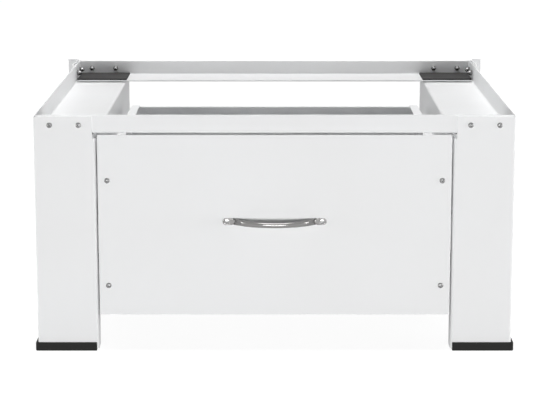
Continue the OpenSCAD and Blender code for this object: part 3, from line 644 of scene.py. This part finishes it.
def handle_sizes():
    """Sizes of the handle from its node: half length, half height, middle height, and the radius and the
    centre's distance behind the drawer's face of the arc that the bow follows."""
    low, high = box_of("handle")
    half_l = (high[X] - low[X]) / 2
    half_h = (high[Z] - low[Z]) / 2
    reach = DRAWER_FACE - low[Y]
    bow_half = half_l - HANDLE_PLATE_L - HANDLE_BOW_INSET
    rise = reach - HANDLE_BOW_T / 2 - HANDLE_PLATE_T / 2
    radius = (bow_half ** 2 + rise ** 2) / (2 * rise)
    return half_l, half_h, (low[Z] + high[Z]) / 2, radius, radius - reach + HANDLE_BOW_T / 2


def bow_flat(x, half_l, half_h):
    """Half height of the bow's flat, between its round upper and lower edge: it is less by the waist's depth
    at the middle, and by one minus the square of the way from there to the plate elsewhere."""
    way = np.minimum(np.abs(x) / (half_l - HANDLE_PLATE_L), 1)
    return half_h - HANDLE_BOW_T / 2 - HANDLE_WAIST * (1 - way ** 2)


def bow_arc(x, radius, bow_back):
    """Distance in front of the drawer, at x, of an arc of that radius about the bow's centre."""
    return np.sqrt(np.maximum(radius ** 2 - x ** 2, 0)) - bow_back


def handle_depths(x, z, half_l, half_h, bow_r, bow_back):
    """Front and back of the handle, as distances in front of the drawer at a point (x, z).
    The bow is an arc about a centre behind the drawer, thickened by half its thickness times a stadium
    section. The facet is a plane that leans from the plate's inner end up to the bow's crest. The plate is a
    slab with a rounded edge and a cone sunk at the screw. The front is the greater of the plate and of the
    lesser of bow and facet. The back is the inner side of the bow where that is in front of the drawer."""
    lean = np.clip((np.abs(z) - bow_flat(x, half_l, half_h)) / (HANDLE_BOW_T / 2), 0, 1)
    thick = HANDLE_BOW_T / 2 * np.sqrt(1 - lean ** 2)
    start = half_l - HANDLE_PLATE_L
    crest_depth = bow_arc(start - HANDLE_FACET_L, bow_r + HANDLE_BOW_T / 2, bow_back)
    slope = (crest_depth - HANDLE_FACET_BASE) / HANDLE_FACET_L
    facet = HANDLE_FACET_BASE + (start - np.abs(x)) * slope
    along = np.clip(np.abs(x), start + half_h, half_l - half_h)
    inside = half_h - np.hypot(np.abs(x) - along, z)
    edge = np.clip(1 - inside / HANDLE_EDGE, 0, 1)
    plate = HANDLE_PLATE_T - HANDLE_EDGE * (1 - np.sqrt(1 - edge ** 2))
    plate = np.where(inside > -ON_RIM, plate, 0)
    sink = np.clip(HANDLE_SINK_R - np.hypot(np.abs(x) - HANDLE_SCREW_X, z), 0, HANDLE_SINK_DEPTH)
    front = np.maximum(plate - sink, np.minimum(bow_arc(x, bow_r + thick, bow_back), facet))
    back = np.maximum(bow_arc(x, bow_r - thick, bow_back), 0)
    return np.maximum(front, back), back


def handle_half_height(x, half_l, half_h, bow_r, bow_back):
    """Half height of the handle's outline at x: the greater of the plate's stadium and of the bow, which ends
    where its own section dips behind the drawer's face."""
    start = half_l - HANDLE_PLATE_L
    along = np.clip(np.abs(x), start + half_h, half_l - half_h)
    plate = np.sqrt(np.maximum(half_h ** 2 - (np.abs(x) - along) ** 2, 0))
    sunk_in = np.clip((np.hypot(bow_back, x) - bow_r) / (HANDLE_BOW_T / 2), 0, 1)
    bow = bow_flat(x, half_l, half_h) + HANDLE_BOW_T / 2 * np.sqrt(1 - sunk_in ** 2)
    bow = np.where(sunk_in < 1, bow, 0)
    return np.maximum(plate, bow)


def handle_grid():
    """Bow handle: at each x a closed ring runs up the back and down the front, with corners at half the
    outline's height times the sine of an even angle, so that they crowd at the upper and lower edge."""
    half_l, half_h, middle, bow_r, bow_back = handle_sizes()
    start = half_l - HANDLE_PLATE_L
    end = half_l - half_h
    fine_from = start - HANDLE_FINE_BEFORE
    fine_to = start + HANDLE_FINE_PAST
    half = np.concatenate([
        np.linspace(0, fine_from, HANDLE_BOW_COLUMNS)[:-1],
        np.linspace(fine_from, fine_to, HANDLE_FINE_COLUMNS)[:-1],
        np.linspace(fine_to, end, HANDLE_PLATE_COLUMNS)[:-1],
        end + half_h * np.sin(np.linspace(0, np.pi / 2, HANDLE_END_COLUMNS)),
    ])
    x = np.concatenate([-half[:0:-1], half])[:, None]
    share = np.sin(np.linspace(-np.pi / 2, np.pi / 2, HANDLE_ROWS))[None, :]
    z = share * handle_half_height(x, half_l, half_h, bow_r, bow_back)
    front, back = handle_depths(x, z, half_l, half_h, bow_r, bow_back)
    wide = x + 0 * z
    up = np.stack([wide, DRAWER_FACE - back, middle + z], -1)
    down = np.stack([wide, DRAWER_FACE - front, middle + z], -1)[:, ::-1]
    return np.concatenate([up, down], axis=1)[None]


# ---- Nodes of the materials ----

NOISE_RANGE = (0.3, 0.7)  # where most of a noise's values lie
COARSER = 3.0  # how many times wider the second noise of the grain is
FINE_SHARE = 0.6  # how much of the grain's height is the first noise
COARSE_SHARE = 0.4  # and the second


def put(tree, kind, sockets=None, **settings):
    """Adds a node. A socket is given a value, or another node's output to read."""
    made = tree.nodes.new("ShaderNode" + kind)
    for name, value in settings.items():
        setattr(made, name, value)
    for key, value in (sockets or {}).items():
        if isinstance(value, bpy.types.NodeSocket):
            tree.links.new(value, made.inputs[key])
        else:
            made.inputs[key].default_value = value
    return made


def reckoned(tree, operation, *values):
    """Result of a Math node with those values."""
    return put(tree, "Math", dict(enumerate(values)), operation=operation).outputs[0]


def spread(tree, value, low, high, from_low=0.0, from_high=1.0):
    """A value carried from one range to another."""
    sockets = {"Value": value, "From Min": from_low, "From Max": from_high, "To Min": low, "To Max": high}
    return put(tree, "MapRange", sockets).outputs["Result"]


def mixed(tree, share, a, b):
    """A colour between two colours. A Mix node takes colours at sockets 6 and 7, and gives one at 2."""
    return put(tree, "Mix", {0: share, 6: a, 7: b}, data_type="RGBA").outputs[2]


def grey(value, warm=0.0):
    """A grey, a little warmer or cooler where warm isn't 0."""
    return (value * (1 + warm), value, value * (1 - warm), 1.0)


def effect(name, inputs, outputs):
    """A node group with its input and output nodes, in which one effect is drawn."""
    tree = bpy.data.node_groups.new(name, "ShaderNodeTree")
    for title, kind, value in inputs:
        tree.interface.new_socket(name=title, in_out="INPUT", socket_type=kind).default_value = value
    for title in outputs:
        tree.interface.new_socket(name=title, in_out="OUTPUT", socket_type="NodeSocketFloat")
    return tree, tree.nodes.new("NodeGroupInput"), tree.nodes.new("NodeGroupOutput")


def place(tree):
    """Place on the object, in metres."""
    return put(tree, "TexCoord").outputs["Object"]


def make_grain():
    """Fine grain: two noises, one at the given number of grains to the metre and one at a third of it, and a
    slow cloud for tone and gloss."""
    inputs = [("Grains", "NodeSocketFloat", 900.0), ("Clouds", "NodeSocketFloat", 6.0)]
    tree, given, out = effect("surface_grain", inputs, ("Height", "Cloud"))
    here = place(tree)
    fine = put(tree, "TexNoise", {"Vector": here, "Scale": given.outputs["Grains"], "Detail": 2.0})
    wider = reckoned(tree, "DIVIDE", given.outputs["Grains"], COARSER)
    coarse = put(tree, "TexNoise", {"Vector": here, "Scale": wider, "Detail": 1.0})
    slow = put(tree, "TexNoise", {"Vector": here, "Scale": given.outputs["Clouds"], "Detail": 4.0})
    swell = reckoned(tree, "MULTIPLY", coarse.outputs["Fac"], COARSE_SHARE)
    height = reckoned(tree, "MULTIPLY_ADD", fine.outputs["Fac"], FINE_SHARE, swell)
    tree.links.new(height, out.inputs["Height"])
    tree.links.new(spread(tree, slow.outputs["Fac"], 0.0, 1.0, *NOISE_RANGE), out.inputs["Cloud"])
    return tree


def make_edge():
    """Edge mask: how far the normal, rounded over a radius, leans away from the face's own."""
    tree, given, out = effect("edge_rub", [("Radius", "NodeSocketFloat", 0.0006)], ("Edge",))
    soft = put(tree, "Bevel", {"Radius": given.outputs["Radius"]}, samples=4)
    own = put(tree, "NewGeometry")
    normals = {0: soft.outputs["Normal"], 1: own.outputs["Normal"]}
    near = put(tree, "VectorMath", normals, operation="DOT_PRODUCT")
    patch = put(tree, "TexNoise", {"Vector": place(tree), "Scale": 70.0, "Detail": 3.0})
    lean = spread(tree, near.outputs["Value"], low=1.0, high=0.0, from_low=0.55, from_high=0.98)
    uneven = spread(tree, patch.outputs["Fac"], low=0.35, high=1.0, from_low=0.35, from_high=0.6)
    tree.links.new(reckoned(tree, "MULTIPLY", lean, uneven), out.inputs["Edge"])
    return tree


def make_dust():
    """Dust: thin and uneven, only on faces that look up."""
    tree, given, out = effect("resting_dust", [("Flecks", "NodeSocketFloat", 300.0)], ("Dust",))
    own = put(tree, "SeparateXYZ", {0: put(tree, "NewGeometry").outputs["Normal"]})
    fleck = put(tree, "TexNoise", {"Vector": place(tree), "Scale": given.outputs["Flecks"], "Detail": 3.0})
    drift = put(tree, "TexNoise", {"Vector": place(tree), "Scale": 9.0, "Detail": 2.0})
    level = spread(tree, own.outputs["Z"], low=0.0, high=1.0, from_low=0.6)
    cover = reckoned(tree, "MULTIPLY", fleck.outputs["Fac"], drift.outputs["Fac"])
    patchy = spread(tree, cover, low=0.0, high=1.0, from_low=0.15, from_high=0.5)
    tree.links.new(reckoned(tree, "MULTIPLY", level, patchy), out.inputs["Dust"])
    return tree


def make_drawn():
    """Drawing lines of rolled or brushed metal: a noise on places stretched by the given numbers of lines to
    the metre along each axis."""
    inputs = [("Lines", "NodeSocketVector", (2500.0, 40.0, 2500.0))]
    tree, given, out = effect("drawn_lines", inputs, ("Line",))
    stretched = put(tree, "VectorMath", {0: place(tree), 1: given.outputs["Lines"]}, operation="MULTIPLY")
    line = put(tree, "TexNoise", {"Vector": stretched.outputs[0], "Scale": 1.0, "Detail": 3.0})
    tree.links.new(line.outputs["Fac"], out.inputs["Line"])
    return tree


def make_spangle():
    """Zinc crystals: cells of a cell noise, each with its own grey, blurred at their borders."""
    tree, given, out = effect("zinc_spangle", [("Cells", "NodeSocketFloat", 260.0)], ("Spangle",))
    sockets = {"Vector": place(tree), "Scale": given.outputs["Cells"]}
    cell = put(tree, "TexVoronoi", sockets, feature="SMOOTH_F1")
    tone = put(tree, "SeparateColor", {0: cell.outputs["Color"]})
    tree.links.new(tone.outputs[0], out.inputs["Spangle"])
    return tree


GRAIN = make_grain()
EDGE = make_edge()
DUST = make_dust()
DRAWN = make_drawn()
SPANGLE = make_spangle()


def apply_effect(tree, group, **values):
    """Places an effect's group in a material, with its own values."""
    made = tree.nodes.new("ShaderNodeGroup")
    made.node_tree = group
    for key, value in values.items():
        made.inputs[key].default_value = value
    return made.outputs


def material(name):
    """A new material, its node tree and its shader."""
    made = bpy.data.materials.new(name)
    made.use_nodes = True
    tree = made.node_tree
    shader = next(n for n in tree.nodes if n.type == "BSDF_PRINCIPLED")
    return made, tree, shader


def laid(tree, base, mask, share, colour):
    """A colour with another laid over it, where a mask says so and by a share of it."""
    return mixed(tree, reckoned(tree, "MULTIPLY", mask, share), base, colour)


def bumped(tree, shader, height, strength, distance):
    """Gives the shader a bump of the given strength and depth."""
    made = put(tree, "Bump", {"Height": height, "Strength": strength, "Distance": distance})
    tree.links.new(made.outputs["Normal"], shader.inputs["Normal"])


# ---- Materials ----

DUST_DULLS = 0.12  # what full dust adds to the powder coat's roughness
ROUGH_SWING = 0.07  # how far drawing lines carry the plated steel's roughness up and down


def powder_coat(name, tone):
    """White powder coat: orange peel a millimetre across, a slow drift in tone and gloss, a coat that is a
    little thinner and duller along the edges, and a trace of dust on top."""
    made, tree, shader = material(name)
    grain = apply_effect(tree, GRAIN, Grains=950.0, Clouds=5.0)
    edge = apply_effect(tree, EDGE, Radius=0.5 * MM)
    dust = apply_effect(tree, DUST, Flecks=420.0)
    coat = mixed(tree, grain["Cloud"], grey(tone, warm=-0.008), grey(tone * 0.985, warm=-0.004))
    coat = laid(tree, coat, edge["Edge"], share=0.25, colour=grey(tone * 0.9))
    coat = laid(tree, coat, dust["Dust"], share=0.10, colour=grey(0.62, warm=0.03))
    tree.links.new(coat, shader.inputs["Base Color"])
    gloss = spread(tree, grain["Cloud"], low=0.54, high=0.62)
    gloss = reckoned(tree, "MULTIPLY_ADD", dust["Dust"], DUST_DULLS, gloss)
    tree.links.new(gloss, shader.inputs["Roughness"])
    shader.inputs["Specular IOR Level"].default_value = 0.22
    bumped(tree, shader, grain["Height"], strength=0.16, distance=0.08 * MM)
    return made


def moulded_rubber(name, tone, grains):
    """Matt moulded rubber: fine grain, a mottled tone, edges polished by handling and dust on top."""
    made, tree, shader = material(name)
    grain = apply_effect(tree, GRAIN, Grains=grains, Clouds=35.0)
    edge = apply_effect(tree, EDGE, Radius=0.8 * MM)
    dust = apply_effect(tree, DUST, Flecks=600.0)
    base = mixed(tree, grain["Cloud"], grey(tone), grey(tone * 1.25, warm=0.01))
    base = laid(tree, base, edge["Edge"], share=0.4, colour=grey(tone * 1.9))
    base = laid(tree, base, dust["Dust"], share=0.16, colour=grey(0.24, warm=0.04))
    tree.links.new(base, shader.inputs["Base Color"])
    tree.links.new(spread(tree, grain["Cloud"], low=0.56, high=0.70), shader.inputs["Roughness"])
    shader.inputs["Specular IOR Level"].default_value = 0.10
    bumped(tree, shader, grain["Height"], strength=0.35, distance=0.12 * MM)
    return made


def plated_steel(name, tone, rough, lines, cells):
    """Zinc-plated steel: crystals, drawing lines in the gloss and the bump, and brighter edges."""
    made, tree, shader = material(name)
    drawn = apply_effect(tree, DRAWN, Lines=lines)
    crystal = apply_effect(tree, SPANGLE, Cells=cells)
    edge = apply_effect(tree, EDGE, Radius=0.3 * MM)
    base = mixed(tree, crystal["Spangle"], grey(tone * 0.92, warm=-0.008), grey(tone * 1.08, warm=0.004))
    base = laid(tree, base, edge["Edge"], share=0.5, colour=grey(min(1.0, tone * 1.35)))
    tree.links.new(base, shader.inputs["Base Color"])
    gloss = spread(tree, drawn["Line"], rough - ROUGH_SWING, rough + ROUGH_SWING, *NOISE_RANGE)
    tree.links.new(gloss, shader.inputs["Roughness"])
    shader.inputs["Metallic"].default_value = 1.0
    bumped(tree, shader, drawn["Line"], strength=0.12, distance=0.02 * MM)
    return made


def satin_nickel(name, tone):
    """Satin nickel of the handle: fine polishing lines along the bow and a slow change in tone."""
    made, tree, shader = material(name)
    drawn = apply_effect(tree, DRAWN, Lines=(60.0, 60.0, 4200.0))
    grain = apply_effect(tree, GRAIN, Grains=2500.0, Clouds=60.0)
    edge = apply_effect(tree, EDGE, Radius=0.4 * MM)
    base = mixed(tree, grain["Cloud"], grey(tone, warm=0.012), grey(tone * 1.07, warm=0.02))
    base = laid(tree, base, edge["Edge"], share=0.35, colour=grey(tone * 1.5))
    tree.links.new(base, shader.inputs["Base Color"])
    tree.links.new(spread(tree, drawn["Line"], 0.13, 0.21, *NOISE_RANGE), shader.inputs["Roughness"])
    shader.inputs["Metallic"].default_value = 1.0
    bumped(tree, shader, drawn["Line"], strength=0.05, distance=0.02 * MM)
    return made


def polished_steel(name, tone):
    """Ball steel: nearly a mirror, with faint lapping marks and a film of grease."""
    made, tree, shader = material(name)
    grain = apply_effect(tree, GRAIN, Grains=3500.0, Clouds=180.0)
    base = mixed(tree, grain["Cloud"], grey(tone), grey(tone * 0.93, warm=0.02))
    tree.links.new(base, shader.inputs["Base Color"])
    tree.links.new(spread(tree, grain["Cloud"], low=0.06, high=0.14), shader.inputs["Roughness"])
    shader.inputs["Metallic"].default_value = 1.0
    shader.inputs["Coat Weight"].default_value = 0.15
    bumped(tree, shader, grain["Height"], strength=0.02, distance=0.01 * MM)
    return made


# Drawing lines to the metre along X, Y and Z
SLIDE_LINES = (2600.0, 35.0, 2600.0)
CAGE_LINES = (1800.0, 60.0, 1800.0)
SCREW_LINES = (1500.0, 1500.0, 1500.0)
RIVET_LINES = (1300.0, 1300.0, 1300.0)

WHITE = powder_coat("white_powder_coat", tone=0.87)
PAD_RUBBER = moulded_rubber("pad_rubber", tone=0.024, grains=1400.0)
SHOE_RUBBER = moulded_rubber("shoe_rubber", tone=0.018, grains=1100.0)
SLIDE_ZINC = plated_steel("zinc_slide", tone=0.56, rough=0.30, lines=SLIDE_LINES, cells=240.0)
CAGE_STEEL = plated_steel("cage_steel", tone=0.40, rough=0.38, lines=CAGE_LINES, cells=420.0)
# Screws, nuts and countersunk screws are far darker than plated zinc: a painted dark reflection that stands
# in for the darker surroundings their metal mirrors.
SCREW_ZINC = plated_steel("zinc_screw", tone=0.25, rough=0.24, lines=SCREW_LINES, cells=900.0)
NUT_ZINC = plated_steel("zinc_nut", tone=0.22, rough=0.17, lines=SCREW_LINES, cells=900.0)
FLUSH_ZINC = plated_steel("zinc_flush_screw", tone=0.27, rough=0.18, lines=SCREW_LINES, cells=900.0)
RIVET_STEEL = plated_steel("rivet_steel", tone=0.48, rough=0.32, lines=RIVET_LINES, cells=700.0)
BALL_STEEL = polished_steel("ball_steel", tone=0.66)
# Far darker than satin nickel: a painted dark reflection that stands in for the darker surroundings the
# handle's metal mirrors.
NICKEL = satin_nickel("handle_metal", tone=0.23)


# ---- Pieces ----

def sheet_metal():
    """Frame and drawer box: folded sheet steel with rounded cut edges."""
    frame_sheets = [corner + "_leg" for corner in CORNERS] + ["front_beam", "rear_beam"]
    for side in SIDES:
        frame_sheets += [side + "_side_rail", side + "_slide_carrier"]
        bracket = side + "_wall_bracket"
        stands_for(dressed(bracket, FRAME_EDGE, clamp=True), bracket, WHITE)
    for node in frame_sheets:
        stands_for(dressed(node, FRAME_EDGE), node, WHITE)
    box_sheets = (
        "drawer_inner_front",
        "drawer_left_side",
        "drawer_right_side",
        "drawer_rear",
        "drawer_bottom",
        "drawer_front",
    )
    for node in box_sheets:
        stands_for(dressed(node, BOX_EDGE, clamp=True), node, WHITE)


def rubber():
    """Pads under the machine and shoes under the legs."""
    for corner in CORNERS:
        pad = corner + "_pad"
        fitted(pad, pad_grid(pad), PAD_RUBBER)
        node = corner + "_shoe"
        shoe = dressed(node, SHOE_EDGE, SHOE_EDGE_STEPS, middle_cut=True)
        stands_for(shoe, node, SHOE_RUBBER)


def slides():
    """Members, cages and balls of the two slides."""
    for side in SIDES:
        for member in ("_slide_outer", "_slide_middle", "_slide_inner"):
            stands_for(dressed(side + member, SLIDE_EDGE), side + member, SLIDE_ZINC)
        for kind in ("_outer_cage", "_inner_cage"):
            cage = dressed(side + kind, CAGE_EDGE, CAGE_EDGE_STEPS, clamp=True)
            stands_for(cage, side + kind, CAGE_STEEL)
        for row in ("_outer_balls", "_inner_balls"):
            radius = length_of(side + row, X) / 2
            balls = set_in(ball_grid(radius), seats(side + row, X, AWAY, radius))
            fitted(side + row, balls, BALL_STEEL)


def pan_screws():
    """Screws through the legs and the drawer front, each stopped at its own angle."""
    chance = np.random.default_rng(SCREW_SEED)
    axes = {
        "front_leg_screws": Y,
        "rear_leg_screws": Y,
        "left_side_screws": X,
        "right_side_screws": X,
        "front_screws": Y,
    }
    for node, axis in axes.items():
        places = seats(node, axis, AWAY, HEAD_H)
        turns = chance.uniform(-SCREW_TURN, SCREW_TURN, len(places))
        grid = pan_screw_grid(length_of(node, axis) - HEAD_H)
        fitted(node, set_in(grid, places, turns), SCREW_ZINC)


def nuts():
    """Cap nuts inside the rim and plain nuts inside the drawer front. At the front and rear two flats of a
    nut lie level, and at the sides they stand upright."""
    caps = {"front_cap_nuts": Y, "rear_cap_nuts": Y, "left_cap_nuts": X, "right_cap_nuts": X}
    plain = {"front_nuts": Y, "handle_nuts": Y}
    for nodes, grid, ring in ((caps, cap_nut_grid(), False), (plain, hex_nut_grid(), True)):
        for node, axis in nodes.items():
            places = seats(node, axis, AWAY)
            turn = NUT_SIDE_TURN if axis == X else 0.0
            fitted(node, set_in(grid, places, [turn] * len(places)), NUT_ZINC, ring)


def flush_screws():
    """Countersunk screws of the handle, the slides and the drawer's runners."""
    kinds = [("handle_screws", Y, AWAY, HANDLE_CONE)]
    for side in SIDES:
        kinds.append((side + "_slide_screws", X, TOWARDS, SLIDE_CONE))
        kinds.append((side + "_runner_screws", X, AWAY, RUNNER_CONE))
    for node, axis, look, cone in kinds:
        grid = flush_screw_grid(cone, length_of(node, axis))
        fitted(node, set_in(grid, seats(node, axis, look)), FLUSH_ZINC)


def rivets():
    """Rivets of the slide carriers and of the drawer box. A rivet's shortest side is its length."""
    for node in ("carrier_rivets", "drawer_rivets"):
        low, high = solids_of(node)[0]
        grid = rivet_grid((high - low).min() - 2 * RIVET_HEAD_H)
        fitted(node, set_in(grid, seats(node, None, AWAY, RIVET_HEAD_H)), RIVET_STEEL)


# ---- Stage, light and camera ----

def seen_ray(tree):
    """1 for rays from the camera, off gloss or through glass, and 0 for the others."""
    path = put(tree, "LightPath").outputs
    bright = reckoned(tree, "MAXIMUM", path["Is Camera Ray"], path["Is Glossy Ray"])
    return reckoned(tree, "MAXIMUM", bright, path["Is Transmission Ray"])


def white_world():
    """A world that is white where it is seen, and lights the object only faintly."""
    world = bpy.data.worlds.new("studio")
    bpy.context.scene.world = world
    world.use_nodes = True
    tree = world.node_tree
    tree.nodes.clear()
    light = put(tree, "Background", {"Color": grey(1.0), "Strength": DOME_LIGHT})
    seen = put(tree, "Background", {"Color": grey(1.0), "Strength": 1.0})
    both = put(tree, "MixShader", {0: seen_ray(tree), 1: light.outputs[0], 2: seen.outputs[0]})
    out = put(tree, "OutputWorld")
    tree.links.new(both.outputs[0], out.inputs["Surface"])


def pale_floor():
    """A plain floor that looks white and keeps the object's shadow."""
    corners = [(sx * FLOOR_HALF, sy * FLOOR_HALF, 0) for sx, sy in ((-1, -1), (1, -1), (1, 1), (-1, 1))]
    mesh = bpy.data.meshes.new("floor")
    mesh.from_pydata(corners, [], [(0, 1, 2, 3)])
    floor = linked("floor", mesh)
    finish = bpy.data.materials.new("floor")
    finish.use_nodes = True
    tree = finish.node_tree
    tree.nodes.clear()
    plain = put(tree, "BsdfDiffuse", {"Color": grey(FLOOR_ALBEDO)})
    shaded = put(tree, "BsdfDiffuse", {"Color": grey(FLOOR_SEEN_ALBEDO)})
    away = put(tree, "VectorMath", {0: place(tree)}, operation="LENGTH").outputs["Value"]
    strength = spread(tree, away, FLOOR_GLOW_NEAR, FLOOR_GLOW_FAR, *FLOOR_GLOW_RANGE)
    glow = put(tree, "Emission", {"Color": grey(1.0), "Strength": strength})
    seen = put(tree, "AddShader", {0: shaded.outputs[0], 1: glow.outputs[0]})
    both = put(tree, "MixShader", {0: seen_ray(tree), 1: plain.outputs[0], 2: seen.outputs[0]})
    out = put(tree, "OutputMaterial")
    tree.links.new(both.outputs[0], out.inputs["Surface"])
    mesh.materials.append(finish)


def aimed(piece, target):
    """Turns a lamp so that it looks at a point."""
    way = np.array(target) - np.array(piece.location)
    tilt = math.atan2(math.hypot(way[X], way[Y]), -way[Z])
    piece.rotation_euler = (tilt, 0, math.atan2(-way[X], way[Y]))


def soft_box(name, point, target, width, height, power):
    """A rectangular studio lamp."""
    lamp = bpy.data.lights.new(name, "AREA")
    lamp.shape = "RECTANGLE"
    lamp.size = width
    lamp.size_y = height
    lamp.energy = power
    piece = bpy.data.objects.new(name, lamp)
    piece.location = point
    piece.visible_camera = False
    aimed(piece, target)
    bpy.context.scene.collection.objects.link(piece)


def studio():
    """Soft light from the front, from above and from both sides, and weaker light from behind."""
    white_world()
    pale_floor()
    for lamp in LAMPS:
        soft_box(*lamp)


def camera():
    """Camera at the photograph's place."""
    lens = bpy.data.cameras.new("camera")
    lens.sensor_width = CAMERA_SENSOR
    lens.lens = CAMERA_LENS
    lens.shift_x = CAMERA_SHIFT_X
    lens.shift_y = CAMERA_SHIFT_Y
    lens.clip_end = CAMERA_REACH
    piece = bpy.data.objects.new("camera", lens)
    piece.location = CAMERA_PLACE
    piece.rotation_euler = (math.pi / 2 - CAMERA_PITCH, 0, 0)
    bpy.context.scene.collection.objects.link(piece)
    bpy.context.scene.camera = piece


sheet_metal()
rubber()
slides()
pan_screws()
nuts()
flush_screws()
rivets()
fitted("handle", handle_grid(), NICKEL)
studio()
camera()
bpy.context.scene.view_settings.view_transform = "Standard"
